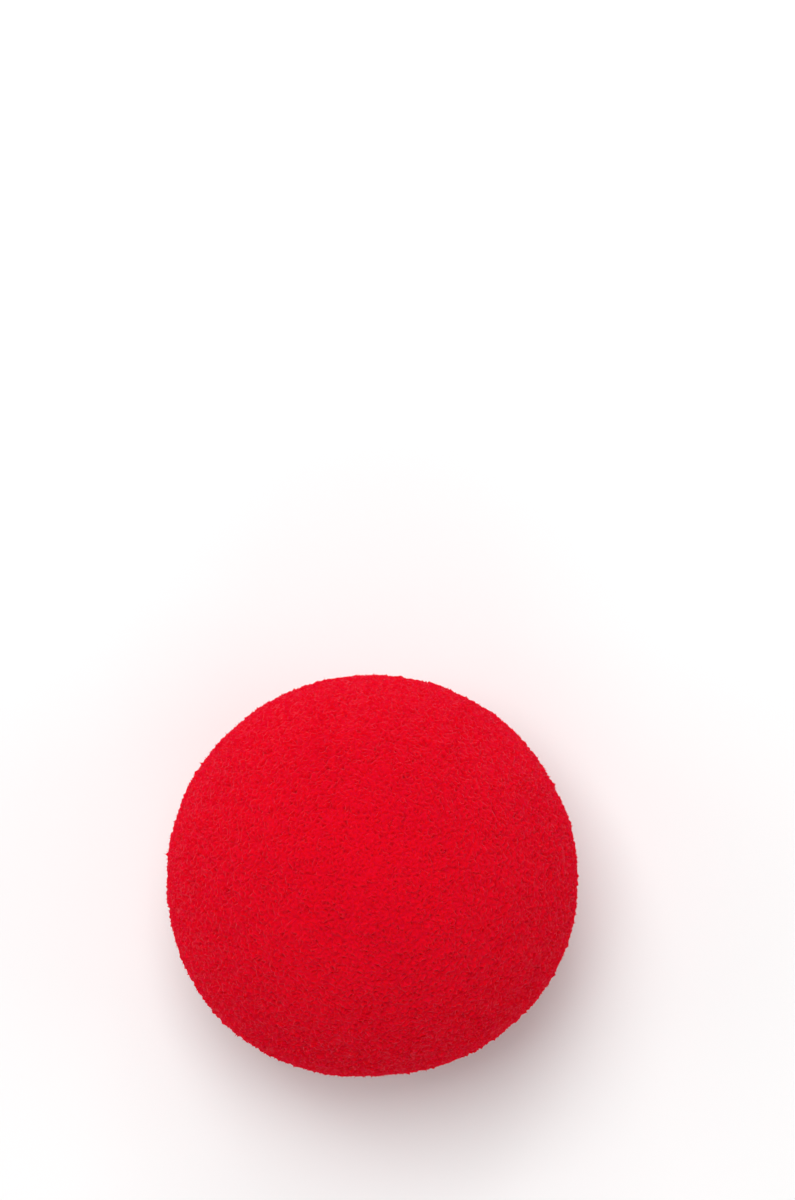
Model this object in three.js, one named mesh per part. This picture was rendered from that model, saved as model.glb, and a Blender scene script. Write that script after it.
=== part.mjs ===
// A foam clown nose: one soft ball of red foam, cut off flat at the back, with a round
// hollow there that slips over the wearer's nose and grips it.
// Millimetres. +Z points out of the front of the nose, +Y to its top, and the origin is
// the middle of the flat back, where the nose rests on the face or on a table.
import * as THREE from "three";

// The ball, measured across its widest ring. The depth is that of the ball before its
// back is cut off, so the nose itself is shorter from front to back.
const BALL_WIDTH = 50.6;
const BALL_HEIGHT = 49.7;
const BALL_DEPTH = 50;

// The back: the hollow's mouth, the flat land round it, and the softened edges of the land.
const MOUTH_WIDTH = 23;
const LAND_WIDTH = 1.8;
const RIM_ROUND = 1.6;
const LIP_ROUND = 0.8;

// The hollow: its wall draws in a little from the mouth to the floor.
const HOLLOW_DEPTH = 28;
const FLOOR_WIDTH = 20;
const FLOOR_ROUND = 4;

// Where the soft ball is pressed in a little or swells out. toward is the direction in
// degrees, anticlockwise from the right of the face; forward is the degrees from the
// widest ring to the front; depth is a share of the ball's radius, and negative where the
// foam swells; spread is the degrees over which it fades.
const PRESSES = [
  { place: "upper right", toward: 30, forward: 8, depth: 0.012, spread: 16 },
  { place: "top", toward: 84, forward: 12, depth: 0.006, spread: 24 },
  { place: "lower left", toward: 224, forward: 0, depth: -0.026, spread: 28 },
  { place: "bottom", toward: 277, forward: 4, depth: 0.012, spread: 16 },
  { place: "lower right", toward: 336, forward: 0, depth: -0.008, spread: 18 },
];

// How finely the nose is faceted: steps round it, and steps along each stretch of its
// profile.
const STEPS_ROUND = 72;
const SKIN_STEPS = 34;
const RIM_STEPS = 4;
const LIP_STEPS = 3;
const WALL_STEPS = 5;
const CORNER_STEPS = 4;
const FLOOR_STEPS = 3;

const HALF_TURN = Math.PI;
const QUARTER_TURN = Math.PI / 2;

// The middle of the ball stands where a rim of the given round touches both the ball's
// skin and the flat back, just outside the land.
const ballRadius = BALL_DEPTH / 2;
const mouthRadius = MOUTH_WIDTH / 2;
const lipOutside = mouthRadius + LIP_ROUND;
const landOutside = lipOutside + LAND_WIDTH;
const centreToRim = ballRadius - RIM_ROUND;
const centreHeight = RIM_ROUND + Math.sqrt(centreToRim ** 2 - landOutside ** 2);
const rimTurn = Math.acos((RIM_ROUND - centreHeight) / centreToRim);

// Points on an arc of the profile. A turn of 0 points to the front, a quarter turn points
// away from the axis and a half turn points to the back.
function arc(across, height, radius, fromTurn, toTurn, steps) {
  const points = [];
  for (let i = 0; i <= steps; i += 1) {
    const turn = fromTurn + ((toTurn - fromTurn) * i) / steps;
    points.push(
      new THREE.Vector2(across + radius * Math.sin(turn), height + radius * Math.cos(turn)),
    );
  }
  return points;
}

// Points on a straight stretch of the profile, both ends included.
function line(from, to, steps) {
  const points = [];
  for (let i = 0; i <= steps; i += 1) {
    points.push(from.clone().lerp(to, i / steps));
  }
  return points;
}

// The skin of the ball, from the front to the rim of the back.
function skinProfile() {
  return arc(0, centreHeight, ballRadius, 0, rimTurn, SKIN_STEPS);
}

// The back and the hollow, from the rim to the middle of the hollow's floor.
function hollowProfile() {
  const floorRadius = FLOOR_WIDTH / 2;
  const cornerAcross = floorRadius - FLOOR_ROUND;
  const cornerHeight = HOLLOW_DEPTH - FLOOR_ROUND;
  const rim = arc(landOutside, RIM_ROUND, RIM_ROUND, rimTurn, HALF_TURN, RIM_STEPS);
  const lip = arc(
    lipOutside,
    LIP_ROUND,
    LIP_ROUND,
    HALF_TURN,
    HALF_TURN + QUARTER_TURN,
    LIP_STEPS,
  );
  const wall = line(
    new THREE.Vector2(mouthRadius, LIP_ROUND),
    new THREE.Vector2(floorRadius, cornerHeight),
    WALL_STEPS,
  );
  const corner = arc(cornerAcross, cornerHeight, FLOOR_ROUND, QUARTER_TURN, 0, CORNER_STEPS);
  const floor = line(
    new THREE.Vector2(cornerAcross, HOLLOW_DEPTH),
    new THREE.Vector2(0, HOLLOW_DEPTH),
    FLOOR_STEPS,
  );
  return [
    ...rim.slice(1),
    ...lip,
    ...wall.slice(1),
    ...corner.slice(1),
    ...floor.slice(1),
  ];
}

// The unit direction that a press points to from the middle of the ball.
function pressDirection(press) {
  const toward = THREE.MathUtils.degToRad(press.toward);
  const forward = THREE.MathUtils.degToRad(press.forward);
  return new THREE.Vector3(
    Math.cos(forward) * Math.cos(toward),
    Math.cos(forward) * Math.sin(toward),
    Math.sin(forward),
  );
}

// Gives a point of the round skin its place on the real ball: stretched to the ball's
// width and height, and pressed in or swollen. This fades to nothing from the widest ring
// to the rim, so the back stays flat and round.
function shapeSkin(point) {
  const share = THREE.MathUtils.smoothstep(point.z, RIM_ROUND, centreHeight);
  const fromCentre = point.clone();
  fromCentre.z -= centreHeight;
  let size = 1;
  for (const press of PRESSES) {
    const spread = THREE.MathUtils.degToRad(press.spread);
    const away = fromCentre.angleTo(pressDirection(press)) / spread;
    size -= press.depth * share * Math.exp(-away * away);
  }
  fromCentre.x *= size * (1 + (BALL_WIDTH / BALL_DEPTH - 1) * share);
  fromCentre.y *= size * (1 + (BALL_HEIGHT / BALL_DEPTH - 1) * share);
  fromCentre.z = fromCentre.z * size + centreHeight;
  return fromCentre;
}

// The whole nose: the profile turned round the axis, then its skin rows moved to the
// shape of the real ball.
function foamNose() {
  const hollow = hollowProfile().reverse();
  const skin = skinProfile().reverse();
  const profile = [...hollow, ...skin];
  profile[0].x = 0;
  profile[profile.length - 1].x = 0;
  const geometry = new THREE.LatheGeometry(profile, STEPS_ROUND);
  geometry.rotateX(QUARTER_TURN);
  const position = geometry.getAttribute("position");
  const point = new THREE.Vector3();
  for (let i = 0; i < position.count; i += 1) {
    const row = i % profile.length;
    if (row >= hollow.length) {
      point.fromBufferAttribute(position, i);
      const moved = shapeSkin(point);
      position.setXYZ(i, moved.x, moved.y, moved.z);
    }
  }
  geometry.computeVertexNormals();
  return geometry;
}

const redFoam = new THREE.MeshStandardMaterial({
  color: 0xd4061c,
  roughness: 0.95,
  metalness: 0,
});

const nose = new THREE.Mesh(foamNose(), redFoam);
nose.name = "foam_nose";

const clownNose = new THREE.Group();
clownNose.add(nose);

export default clownNose;
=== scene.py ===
import math

import bpy
import numpy as np
from mathutils import Matrix, Vector
from mathutils.geometry import delaunay_2d_cdt


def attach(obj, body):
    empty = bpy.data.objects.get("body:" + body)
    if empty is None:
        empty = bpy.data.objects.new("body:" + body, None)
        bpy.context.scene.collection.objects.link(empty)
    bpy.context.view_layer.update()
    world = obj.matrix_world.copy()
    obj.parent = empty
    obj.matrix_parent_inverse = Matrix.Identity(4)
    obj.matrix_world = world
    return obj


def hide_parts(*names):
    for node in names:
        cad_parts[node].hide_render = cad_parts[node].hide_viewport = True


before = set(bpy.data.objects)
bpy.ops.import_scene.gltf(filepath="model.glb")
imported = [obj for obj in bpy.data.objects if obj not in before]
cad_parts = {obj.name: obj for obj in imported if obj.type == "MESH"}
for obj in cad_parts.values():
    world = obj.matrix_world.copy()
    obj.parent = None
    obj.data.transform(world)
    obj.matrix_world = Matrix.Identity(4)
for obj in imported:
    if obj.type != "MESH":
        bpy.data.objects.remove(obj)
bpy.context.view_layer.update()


# The nose: one ball of soft polyurethane foam, dyed red right through. It is ground to a
# ball, which leaves a skin of cut-open cells, then its back is sliced off flat and a round
# hollow is bored in, and the core is torn out of it, so the hollow's floor stays rough.

BALL_WIDTH = 0.0506
BALL_HEIGHT = 0.0497
BALL_DEPTH = 0.050
MOUTH_WIDTH = 0.023
LAND_WIDTH = 0.0018
RIM_ROUND = 0.0016
LIP_ROUND = 0.0008
HOLLOW_DEPTH = 0.028
FLOOR_WIDTH = 0.020
FLOOR_ROUND = 0.004

# Where the soft ball is pressed in a little, or swells out where the depth is below 0:
# toward, forward and spread in degrees, and the depth as a share of the ball's radius.
PRESSES = np.array(
    [
        (30, 8, 0.012, 16),
        (84, 12, 0.006, 24),
        (224, 0, -0.026, 28),
        (277, 4, 0.012, 16),
        (336, 0, -0.008, 18),
    ],
    dtype=[("toward", float), ("forward", float), ("depth", float), ("spread", float)],
)

# How finely the outline is worked out: the points on each arc, and along the whole of it.
ARC_POINTS = 400
OUTLINE_POINTS = 12000

# The cells that the skin cuts open. As shares of their spacing: how far they stray from
# an even spread, and how far they keep from the axis, in front and in the hollow.
CELL_COUNT = 32900
CELL_STRAY = 0.8
FRONT_CLEAR = 0.2
FLOOR_CLEAR = 0.35

# The pit's depth over its size, the deepest pit, how unlike the pits are in depth and in
# where their lowest points lie, and how much deeper they are in torn foam.
PIT_STEEPNESS = 0.44
DEEPEST_PIT = 0.00034
PIT_SPREAD = 0.4
PIT_PULL = 0.6
TORN_DEEPER = 0.4

# How far the struts' joints stray up and down, how far inside the ball's size the skin
# lies to leave room for that, and the least share of a cell in the place of a joint.
STRUT_STRAY = 0.0001
SKIN_SINK = 0.0001
LEAST_SHARE = 0.04

# Slow swells of the ball's skin, of the crumb all over, of the hollow's wall and of its
# torn floor: height, shortest length, longest length, and how many waves make them up.
SKIN_SWELL = (0.00007, 0.003, 0.011, 60)
CRUMB_SWELL = (0.00008, 0.0008, 0.0024, 90)
WALL_SWELL = (0.00012, 0.002, 0.007, 40)
TORN_SWELL = (0.00045, 0.0014, 0.005, 40)

# Along the outline: over what length a swell fades in or out, the same at the edge of the
# torn floor, and how far beyond the ball's skin the swells of the wall begin.
SWELL_FADE = 0.003
TORN_FADE = 0.004
WALL_START = 0.006

# How far faces reach from the middle of their tile, as a share of the tile's width.
TILE_REACH = 0.47

ball_radius = BALL_DEPTH / 2
mouth_radius = MOUTH_WIDTH / 2
lip_outside = mouth_radius + LIP_ROUND
land_outside = lip_outside + LAND_WIDTH
centre_to_rim = ball_radius - RIM_ROUND
centre_height = RIM_ROUND + math.sqrt(centre_to_rim**2 - land_outside**2)
rim_turn = math.acos((RIM_ROUND - centre_height) / centre_to_rim)
chance = np.random.default_rng(41)


def arc(across, height, radius, from_turn, to_turn):
    """Points on an arc: its centre plus the radius times the sine of the turn, away from
    the axis, and times the cosine of the turn, to the front."""
    turn = np.linspace(from_turn, to_turn, ARC_POINTS)
    return np.column_stack([across + radius * np.sin(turn), height + radius * np.cos(turn)])


def nose_profile():
    """The outline from the middle of the front round to the middle of the hollow's floor,
    in equal steps of its length: skin, rim, land, lip, wall, corner and floor.
    Returns the distances along it, across and height there, and the length of the skin."""
    corner_across = FLOOR_WIDTH / 2 - FLOOR_ROUND
    corner_height = HOLLOW_DEPTH - FLOOR_ROUND
    outline = np.concatenate(
        [
            arc(0, centre_height, ball_radius, 0, rim_turn),
            arc(land_outside, RIM_ROUND, RIM_ROUND, rim_turn, math.pi),
            arc(lip_outside, LIP_ROUND, LIP_ROUND, math.pi, 1.5 * math.pi),
            arc(corner_across, corner_height, FLOOR_ROUND, 0.5 * math.pi, 0),
            [(0, HOLLOW_DEPTH)],
        ]
    )
    gaps = np.hypot(*np.diff(outline, axis=0).T)
    along = np.concatenate([[0], np.cumsum(gaps)])
    even = np.linspace(0, along[-1], OUTLINE_POINTS)
    across = np.interp(even, along, outline[:, 0])
    height = np.interp(even, along, outline[:, 1])
    return even, across, height, ball_radius * rim_turn


def pressed(points):
    """The points of the round skin on the real ball: stretched to its width and height, and
    drawn in by each press times e to minus the square of the angle to it over its spread.
    All of this fades out from the widest ring to the rim."""
    share = np.clip((points[:, 2] - RIM_ROUND) / (centre_height - RIM_ROUND), 0, 1)
    share = share * share * (3 - 2 * share)
    from_centre = points - [0, 0, centre_height]
    toward, forward = np.radians(PRESSES["toward"]), np.radians(PRESSES["forward"])
    direction = np.array(
        [np.cos(forward) * np.cos(toward), np.cos(forward) * np.sin(toward), np.sin(forward)]
    )
    facing = from_centre @ direction / np.linalg.norm(from_centre, axis=1)[:, None]
    away = np.arccos(np.clip(facing, -1, 1)) / np.radians(PRESSES["spread"])
    size = 1 - share * (np.exp(-away * away) @ PRESSES["depth"])
    stretch = np.column_stack(
        [
            size * (1 + (BALL_WIDTH / BALL_DEPTH - 1) * share),
            size * (1 + (BALL_HEIGHT / BALL_DEPTH - 1) * share),
            size,
        ]
    )
    return from_centre * stretch + [0, 0, centre_height]


def swells(points, height, shortest, longest, count):
    """Slow chance swells, up and down by about the height: the sum of plane sine waves in
    chance directions, with lengths between the shortest and the longest."""
    direction = chance.normal(size=(3, count))
    direction /= np.linalg.norm(direction, axis=0)
    turns = 2 * math.pi / chance.uniform(shortest, longest, count)
    start = chance.uniform(0, 2 * math.pi, count)
    waves = np.sin(points @ (direction * turns) + start)
    return height * (waves.sum(axis=1) / math.sqrt(2 * count))


def foam_cells(along, across, height):
    """The middles of the cells that the cut skin opens. They follow a golden-angle spiral
    with equal areas between them, and stray from it by a share of their spacing.
    Returns their places, the ways out of the foam there, their distances along the outline
    and flat places for joining neighbours: the flat distance from the middle is e to the
    sum of the steps along the outline over the distance from the axis, which keeps angles."""
    step = along[1]
    area = np.concatenate([[0], np.cumsum((across[1:] + across[:-1]) * math.pi * step)])
    flat = np.concatenate([[0], np.cumsum(step / np.maximum(across[1:], step))])
    spacing = math.sqrt(area[-1] / CELL_COUNT)
    number = np.arange(CELL_COUNT)
    stray = chance.uniform(-CELL_STRAY, CELL_STRAY, (2, CELL_COUNT)) * spacing
    place = np.interp((number + 0.5) / CELL_COUNT * area[-1], area, along) + stray[0]
    place = np.clip(place, FRONT_CLEAR * spacing, along[-1] - FLOOR_CLEAR * spacing)
    out = np.interp(place, along, across)
    turn = number * math.pi * (3 - math.sqrt(5)) + stray[1] / out
    ahead = np.column_stack([np.gradient(across, step), np.gradient(height, step)])
    rise = np.interp(place, along, ahead[:, 0])
    spread = -np.interp(place, along, ahead[:, 1])
    size = np.hypot(rise, spread)
    cos, sin = np.cos(turn), np.sin(turn)
    points = np.column_stack([out * cos, out * sin, np.interp(place, along, height)])
    outward = np.column_stack([spread * cos, spread * sin, rise]) / size[:, None]
    flat_out = np.exp(np.interp(place, along, flat))
    return points, outward, place, np.column_stack([flat_out * cos, flat_out * sin])


def sides_of(triangles):
    """Where the sides of the triangles start and end, three in a row for each triangle."""
    return triangles.ravel(), np.roll(triangles, -1, axis=1).ravel()


def join_neighbours(flat):
    """Triangles between neighbouring cells: Delaunay's in the flat plane, and one ring of
    them from its outer edge to a last cell at the middle of the hollow's floor."""
    found = delaunay_2d_cdt(flat.tolist(), [], [], 0, 1e-9)
    source = np.array(found[3])[:, 0]
    triangles = source[np.array(found[2])]
    count = len(flat) + 1
    start, end = sides_of(triangles)
    lone = ~np.isin(end * count + start, start * count + end)
    last = np.full(lone.sum(), len(flat))
    return np.concatenate([triangles, np.column_stack([end[lone], start[lone], last])])


def joint_shares(corner):
    """The shares of a triangle's corners in the middle of the circle through them: the
    square of the side across, times the other two squares together less that one. No share
    is under the least, which keeps the joint inside its triangle."""
    side = np.linalg.norm(np.roll(corner, -1, axis=1) - np.roll(corner, 1, axis=1), axis=2) ** 2
    share = side * (np.roll(side, 1, axis=1) + np.roll(side, -1, axis=1) - side)
    share /= share.sum(axis=1)[:, None]
    share = np.clip(share, LEAST_SHARE, 1)
    return share / share.sum(axis=1)[:, None]


def fan_corners(start, mate, count):
    """Corner places in a unit square for the faces of each cell, laid out as a regular fan:
    0.5 plus the reach times the cosine and sine of whole steps of a turn over its faces.
    The next face of a fan is the mate of the side before a face's own in its triangle."""
    side = np.arange(len(start))
    follow = mate[side - side % 3 + (side + 2) % 3]
    here = np.unique(start, return_index=True)[1]
    sides = np.bincount(start, minlength=count)
    rank = np.zeros(len(start))
    for step in range(1, sides.max()):
        here = follow[here]
        rank[here[step < sides]] = step
    turn = 2 * math.pi * (rank[:, None] + [0, 1]) / sides[start][:, None]
    rim = 0.5 + TILE_REACH * np.stack([np.cos(turn), np.sin(turn)], axis=-1)
    return np.concatenate([np.full((len(start), 1, 2), 0.5), rim], axis=1)


def foam_web():
    """The skin of cut cells. Where three cells meet stands a joint of their struts. Each
    cell is a pit: a fan of faces from its lowest point up to the joints round it. That
    point is the mean of those joints, each weighted by e to a chance number, sunk by the
    steepness times their mean distance and e to a chance number.
    Returns places, faces, how deep each point is as a share of the deepest, where the
    faces' corners lie in a cell's tile, and the joints' places and ways out of the foam."""
    along, across, height, skin_length = nose_profile()
    cells, outward, place, flat = foam_cells(along, across, height)
    triangles = join_neighbours(flat)
    cells = np.vstack([cells, [0, 0, HOLLOW_DEPTH]])
    outward = np.vstack([outward, [0, 0, -1]])
    place = np.append(place, along[-1])

    share = joint_shares(cells[triangles])
    joints = (cells[triangles] * share[:, :, None]).sum(axis=1)
    joint_outward = (outward[triangles] * share[:, :, None]).sum(axis=1)
    joint_outward /= np.linalg.norm(joint_outward, axis=1)[:, None]
    joint_place = (place[triangles] * share).sum(axis=1)

    points = np.vstack([cells, joints])
    outward = np.vstack([outward, joint_outward])
    place = np.append(place, joint_place)
    on_skin = place < skin_length
    points[on_skin] = pressed(points[on_skin])

    floor_starts = along[-1] - FLOOR_WIDTH / 2
    torn = np.clip((place - floor_starts + TORN_FADE / 2) / TORN_FADE, 0, 1)
    wall = np.clip((place - skin_length - WALL_START) / SWELL_FADE, 0, 1) * (1 - torn)
    skin = np.clip((skin_length - place) / SWELL_FADE, 0, 1)
    swell = (
        skin * (swells(points, *SKIN_SWELL) - SKIN_SINK)
        + swells(points, *CRUMB_SWELL)
        + wall * swells(points, *WALL_SWELL)
        + torn * swells(points, *TORN_SWELL)
    )

    count = len(cells)
    start, end = sides_of(triangles)
    number = np.repeat(np.arange(len(triangles)), 3)
    pull = chance.lognormal(0, PIT_PULL, len(start))
    pulled = [np.bincount(start, pull * axis[number], count) for axis in points[count:].T]
    points[:count] = np.column_stack(pulled) / np.bincount(start, pull, count)[:, None]
    reach = np.linalg.norm(points[count:][number] - points[start], axis=1)
    size = np.bincount(start, reach, count) / np.bincount(start, minlength=count)
    depth = PIT_STEEPNESS * size * chance.lognormal(0, PIT_SPREAD, count)
    depth = np.minimum(depth * (1 + TORN_DEEPER * torn[:count]), DEEPEST_PIT)
    lift = STRUT_STRAY * chance.normal(size=len(joints))
    moved = points + outward * (swell + np.append(-depth, lift))[:, None]
    moved[:, 2] = np.maximum(moved[:, 2], 0)

    order = np.argsort(start * count + end)
    mate = order[np.searchsorted((start * count + end)[order], end * count + start)]
    faces = np.column_stack([start, number[mate] + count, number + count])
    deepness = np.append(depth / DEEPEST_PIT, np.zeros(len(joints)))
    inside = fan_corners(start, mate, count)
    return moved, faces, deepness, inside, moved[count:], outward[count:]


def mesh_piece(name, points, faces):
    """An object of the name, at the origin, with a mesh of the points and triangles."""
    mesh = bpy.data.meshes.new(name)
    mesh.vertices.add(len(points))
    mesh.vertices.foreach_set("co", np.asarray(points, np.float32).ravel())
    mesh.loops.add(faces.size)
    mesh.loops.foreach_set("vertex_index", np.asarray(faces, np.int32).ravel())
    mesh.polygons.add(len(faces))
    mesh.polygons.foreach_set("loop_start", np.arange(0, faces.size, 3, dtype=np.int32))
    mesh.update(calc_edges=True)
    mesh.validate()
    mesh.shade_flat()
    piece = bpy.data.objects.new(name, mesh)
    bpy.context.scene.collection.objects.link(piece)
    return piece


def tile_map(piece, tile, inside):
    """Gives every face its own room in a square picture of its colours. The picture is cut
    into rows of tiles: a corner's place is its tile's column and row plus its place inside
    the tile, over the number of columns."""
    columns = math.ceil(math.sqrt(tile.max() + 1))
    corner = np.column_stack([tile % columns, tile // columns])[:, None] + inside
    layer = piece.data.uv_layers.new(name="OFBake")
    layer.uv.foreach_set("vector", (corner / columns).astype(np.float32).ravel())


class Shade:
    """A shader socket. Adding to it, taking from it and multiplying it, with numbers or
    other sockets, adds the Math nodes for that and gives the socket of the result."""

    def __init__(self, tree, socket=None):
        self.tree = tree
        self.socket = socket

    def node(self, kind, settings=None, sockets=None, output=0):
        """A new node's output: its settings are set first, then its sockets, each to a
        value or a link."""
        made = self.tree.nodes.new(kind)
        for name, value in (settings or {}).items():
            setattr(made, name, value)
        for name, value in (sockets or {}).items():
            if isinstance(value, Shade):
                self.tree.links.new(value.socket, made.inputs[name])
            else:
                made.inputs[name].default_value = value
        if not made.outputs:
            return None
        return Shade(self.tree, made.outputs[output])

    def maths(self, operation, first, second):
        """The output of a Math node of the operation on the two values."""
        return self.node("ShaderNodeMath", {"operation": operation}, {0: first, 1: second})

    def __add__(self, other):
        return self.maths("ADD", self, other)

    def __radd__(self, other):
        return self.maths("ADD", other, self)

    def __sub__(self, other):
        return self.maths("SUBTRACT", self, other)

    def __rsub__(self, other):
        return self.maths("SUBTRACT", other, self)

    def __mul__(self, other):
        return self.maths("MULTIPLY", self, other)

    def __rmul__(self, other):
        return self.maths("MULTIPLY", other, self)

    def mixed(self, first, second):
        """The colour that goes from the first to the second as this socket goes to 1."""
        return self.node(
            "ShaderNodeMix",
            {"data_type": "RGBA", "clamp_factor": True},
            {"Factor": self, 6: first, 7: second},
            output=2,
        )


# The dye on the struts, a deeper red down in the pits that is painted shade, and where the dye
# is weaker.
STRUT_RED = (0.69, 0.0008, 0.013, 1)
PIT_SHADE_RED = (0.6, 0.0004, 0.009, 1)
FADED_RED = (0.6, 0.0006, 0.012, 1)

# How many clouds of dye and grains of foam there are in a metre, the grains' relief and
# their share in the dye, and from where in a cloud and how fast the dye fades.
CLOUD_SCALE = 110.0
GRAIN_SCALE = 2600.0
GRAIN_RELIEF = 0.00012
GRAIN_DYE = 0.5
FADE_START = 0.46
FADE_SPEED = 1.6

# The least roughness, and how much of it the clouds add.
LEAST_ROUGH = 0.82
CLOUD_ROUGH = 0.16


def red_foam():
    """Dyed foam: light red on the struts and deep red down in the pits, the deep red being
    painted shade there, with the dye slowly stronger and weaker over the ball, and a fine grain
    in its relief."""
    material = bpy.data.materials.new("red_foam_skin")
    material.use_nodes = True
    tree = material.node_tree
    tree.nodes.clear()
    shade = Shade(tree)
    where = shade.node("ShaderNodeTexCoord", output=3)
    depth = shade.node("ShaderNodeAttribute", {"attribute_name": "pit_depth"}, output=2)
    cloud = shade.node(
        "ShaderNodeTexNoise", None, {"Vector": where, "Scale": CLOUD_SCALE, "Detail": 3.0}
    )
    grain = shade.node(
        "ShaderNodeTexNoise", None, {"Vector": where, "Scale": GRAIN_SCALE, "Detail": 3.0}
    )
    # The colour goes from the struts' red to a deeper red as the pits deepen, which is painted
    # shade in the pits, with the grain's chance tone mixed in.
    dye_and_pit_shade = (depth + (grain - 0.5) * GRAIN_DYE).mixed(STRUT_RED, PIT_SHADE_RED)
    colour = ((cloud - FADE_START) * FADE_SPEED).mixed(dye_and_pit_shade, FADED_RED)
    bump = shade.node(
        "ShaderNodeBump", None, {"Strength": 0.45, "Distance": GRAIN_RELIEF, "Height": grain}
    )
    surface = shade.node(
        "ShaderNodeBsdfPrincipled",
        None,
        {
            "Base Color": colour,
            "Roughness": LEAST_ROUGH + CLOUD_ROUGH * cloud,
            "Specular IOR Level": 0.05,
            "Sheen Weight": 0.2,
            "Sheen Roughness": 0.4,
            "Sheen Tint": (1.0, 0.3, 0.38, 1),
            "Subsurface Weight": 0.8,
            "Subsurface Radius": (1.0, 0.12, 0.08),
            "Subsurface Scale": 0.001,
            "Normal": bump,
        },
    )
    shade.node("ShaderNodeOutputMaterial", None, {"Surface": surface})
    return material


foam_red = red_foam()
web_points, web_faces, web_depth, web_inside, joints, joint_outward = foam_web()
foam = mesh_piece("foam_nose_skin", web_points, web_faces)
# How deep each point of a pit lies, which turns the foam's colour to a deeper red: painted
# shade in the pits.
deepness = foam.data.attributes.new("pit_depth", "FLOAT", "POINT")
deepness.data.foreach_set("value", np.asarray(web_depth, np.float32))
tile_map(foam, web_faces[:, 0], web_inside)
foam.data.materials.append(foam_red)
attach(foam, "root")
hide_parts("foam_nose")


# The cut ends of the foam's struts, which stand up out of the ground skin all over and
# give the ball its soft, velvety edge. They are thin spikes of the same red foam, each
# grown out of a joint of the skin's web.

END_COUNT = 46000
END_WIDTH = 0.00007
END_LENGTH = 0.00012
LONGEST_END = 0.0003

# How unlike they are in width and in length, how far they lean, and how deep they are
# rooted in the skin, as a share of their width.
WIDTH_SPREAD = 0.3
LENGTH_SPREAD = 0.5
END_LEAN = 0.6
END_ROOT = 0.4


def strut_ends(joints, outward):
    """A three-sided spike on each joint: three points on a small circle under the skin,
    and a tip at the spike's length along a direction that leans by chance.
    Returns places, faces, and where the faces' corners lie in a spike's tile, which its
    two diagonals cut into four."""
    count = len(joints)
    lean = outward + END_LEAN * chance.normal(size=(count, 3))
    lean /= np.linalg.norm(lean, axis=1)[:, None]
    length = np.minimum(END_LENGTH * chance.lognormal(0, LENGTH_SPREAD, count), LONGEST_END)
    width = END_WIDTH * chance.uniform(1 - WIDTH_SPREAD, 1 + WIDTH_SPREAD, count)
    across = np.cross(lean, chance.normal(size=(count, 3)))
    across /= np.linalg.norm(across, axis=1)[:, None]
    beside = np.cross(lean, across)
    turn = np.radians([0, 120, 240])
    foot = joints - END_ROOT * width[:, None] * outward
    ring = (
        foot[:, None]
        + across[:, None] * np.cos(turn)[:, None] * width[:, None, None] * 0.5
        + beside[:, None] * np.sin(turn)[:, None] * width[:, None, None] * 0.5
    )
    tip = foot + lean * (length + END_ROOT * width)[:, None]
    points = np.concatenate([ring, tip[:, None]], axis=1).reshape(-1, 3)
    spike = np.array([[0, 1, 3], [1, 2, 3], [2, 0, 3], [0, 2, 1]])
    faces = (np.arange(count)[:, None, None] * 4 + spike).reshape(-1, 3)
    tile = 0.5 + TILE_REACH * np.array([(-1, -1), (1, -1), (1, 1), (-1, 1), (0, 0)])
    inside = tile[[(0, 1, 4), (1, 2, 4), (2, 3, 4), (3, 0, 4)]]
    return points, faces, np.tile(inside, (count, 1, 1))


chosen = chance.permutation(np.flatnonzero(joints[:, 2] > LONGEST_END))[:END_COUNT]
end_points, end_faces, end_inside = strut_ends(joints[chosen], joint_outward[chosen])
ends = mesh_piece("foam_strut_ends", end_points, end_faces)
tile_map(ends, end_faces[:, 0] // 4, end_inside)
ends.data.materials.append(foam_red)
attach(ends, "root")


# The table that the nose is put down on, back first: a plain board, much wider than the
# nose, painted matt and nearly white.

TABLE_WIDTH = 3.0
TABLE_WHITE = (0.9, 0.9, 0.9, 1)

half = TABLE_WIDTH / 2
table = mesh_piece(
    "table",
    np.array([(-half, -half, 0), (half, -half, 0), (half, half, 0), (-half, half, 0)]),
    np.array([(0, 1, 2), (0, 2, 3)]),
)
table_white = bpy.data.materials.new("table_white")
table_white.use_nodes = True
plain = table_white.node_tree.nodes["Principled BSDF"]
plain.inputs["Base Color"].default_value = TABLE_WHITE
plain.inputs["Roughness"].default_value = 0.9
plain.inputs["Specular IOR Level"].default_value = 0.1
table.data.materials.append(table_white)


# The light of a small studio: a strong soft box over the nose, a little to its upper left,
# a weaker one on each of its four sides, and white walls all round.

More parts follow.
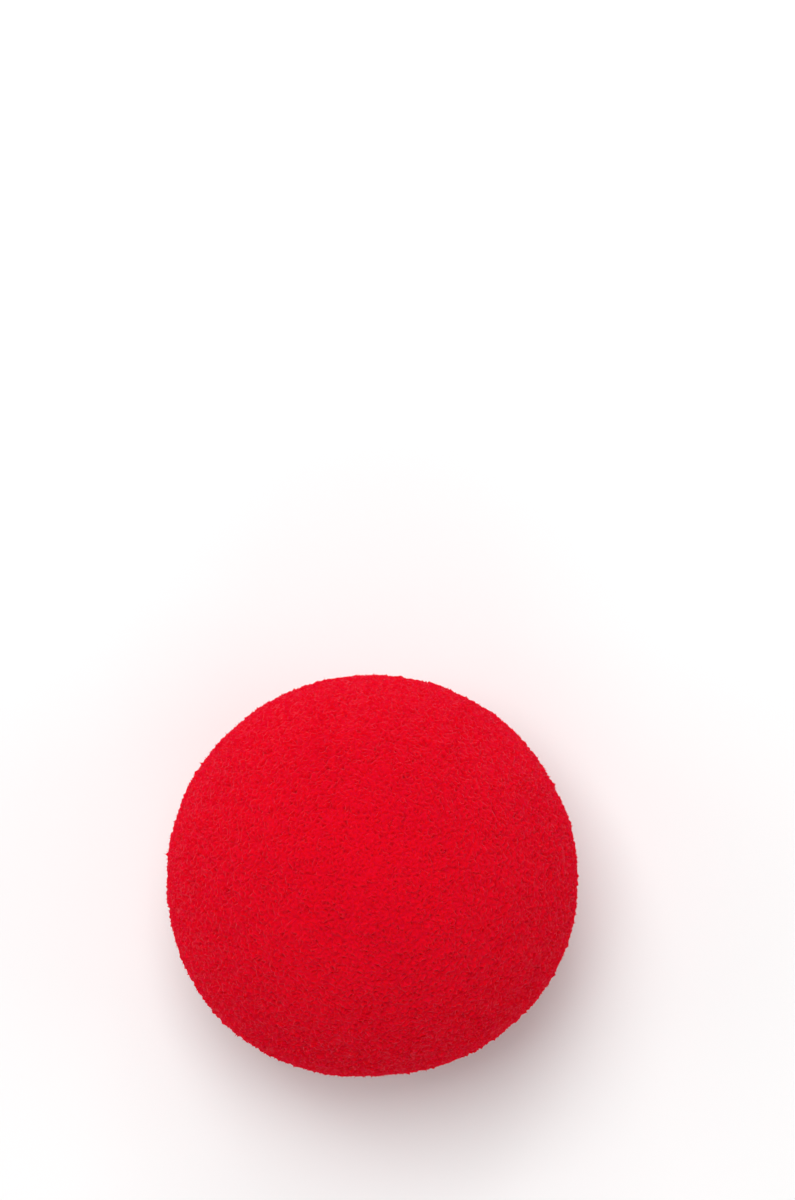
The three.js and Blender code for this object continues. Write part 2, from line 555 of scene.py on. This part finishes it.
WALL_LIGHT = 0.33


def soft_box(name, place, width, power):
    """A square light of the width at the place, turned to the nose."""
    light = bpy.data.lights.new(name, "AREA")
    light.shape = "SQUARE"
    light.size = width
    light.energy = power
    box = bpy.data.objects.new(name, light)
    toward = Vector((0, 0, centre_height)) - Vector(place)
    turn = toward.to_track_quat("-Z", "Y").to_matrix().to_4x4()
    box.matrix_world = Matrix.Translation(place) @ turn
    bpy.context.scene.collection.objects.link(box)


soft_box("over_box", place=(-0.12, 0.3, 0.9), width=0.5, power=5.7)
soft_box("top_box", place=(0.0, 0.7, 0.5), width=0.5, power=1.4)
soft_box("left_box", place=(-0.7, 0.1, 0.5), width=0.5, power=0.8)
soft_box("right_box", place=(0.7, 0.0, 0.5), width=0.5, power=0.8)
soft_box("low_box", place=(0.0, -0.7, 0.5), width=0.5, power=0.8)

studio = bpy.data.worlds.new("studio")
studio.use_nodes = True
walls = studio.node_tree.nodes["Background"]
walls.inputs["Color"].default_value = (1, 1, 1, 1)
walls.inputs["Strength"].default_value = WALL_LIGHT
bpy.context.scene.world = studio
bpy.context.scene.view_settings.view_transform = "Standard"


# The camera looks straight down on the front of the nose, from so far that the ball shows
# without distortion. The nose stands low in the upright picture.

PICTURE = (795, 1200)
BALL_PIXELS = 411
BALL_MIDDLE = (372.5, 876)
CAMERA_HEIGHT = 0.75
SENSOR_HEIGHT = 24

pixel = BALL_WIDTH / BALL_PIXELS
camera_place = (
    (PICTURE[0] / 2 - BALL_MIDDLE[0]) * pixel,
    (BALL_MIDDLE[1] - PICTURE[1] / 2) * pixel,
    CAMERA_HEIGHT,
)
lens = bpy.data.cameras.new("camera")
lens.sensor_fit = "VERTICAL"
lens.sensor_height = SENSOR_HEIGHT
lens.lens = SENSOR_HEIGHT * (CAMERA_HEIGHT - centre_height) / (PICTURE[1] * pixel)
camera = bpy.data.objects.new("camera", lens)
camera.matrix_world = Matrix.Translation(camera_place)
bpy.context.scene.collection.objects.link(camera)
bpy.context.scene.camera = camera
